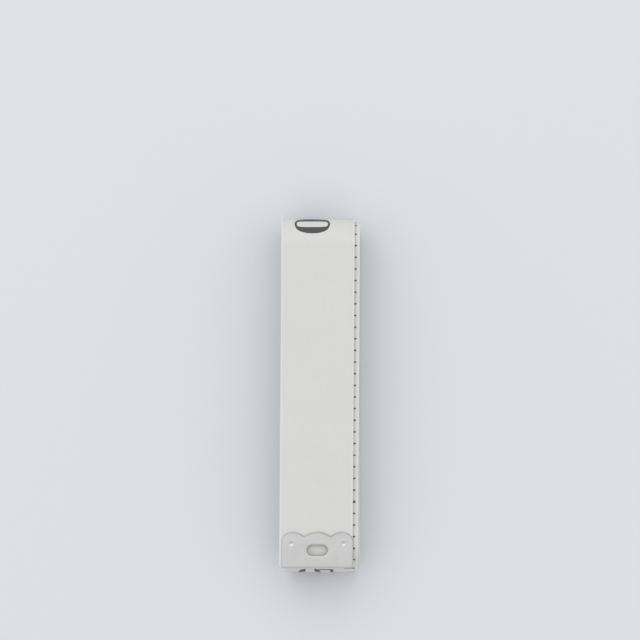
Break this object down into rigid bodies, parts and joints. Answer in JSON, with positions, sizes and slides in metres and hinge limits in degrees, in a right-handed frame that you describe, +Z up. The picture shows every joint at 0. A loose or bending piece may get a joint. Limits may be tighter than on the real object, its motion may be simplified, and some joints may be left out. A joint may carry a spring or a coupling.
{
  "type": "cloth tape measure",
  "caption": "Soft cloth measuring tape wound flat into a long pack, with a folded metal clip at each end of the tape and its loose end lying on top.",
  "frame": {"origin": "middle of the face that the pack rests on", "axes": "+Z up through the pack's thickness, +Y along the pack towards the bend where the loose end turns over, +X across the tape"},
  "size_m": [0.022, 0.0966, 0.015],
  "materials": {
    "tape": "off-white vinyl-coated woven tape, satin",
    "clip": "satin tin-plated sheet steel"
  },
  "bodies": {
    "pack": {"tape_winding": "tape", "inner_end_clip": "clip"},
    "link": {"fold_link": "tape"},
    "loose_end": {"outer_run": "tape", "outer_end_clip": "clip"}
  },
  "joints": [
    {"name": "unroll_1", "type": "hinge", "parent": "pack", "child": "link", "pos_m": [-0.0004, 0.04599, 0.00226], "axis": [-1, 0, 0], "range_deg": [0, 89.4]},
    {"name": "unroll_2", "type": "hinge", "parent": "link", "child": "loose_end", "pos_m": [-0.0004, 0.04599, 0.01242], "axis": [-1, 0, 0], "range_deg": [0, 89.4]}
  ],
  "couplings": [
    {"joint": "unroll_2", "follows": "unroll_1", "ratio": 1}
  ]
}
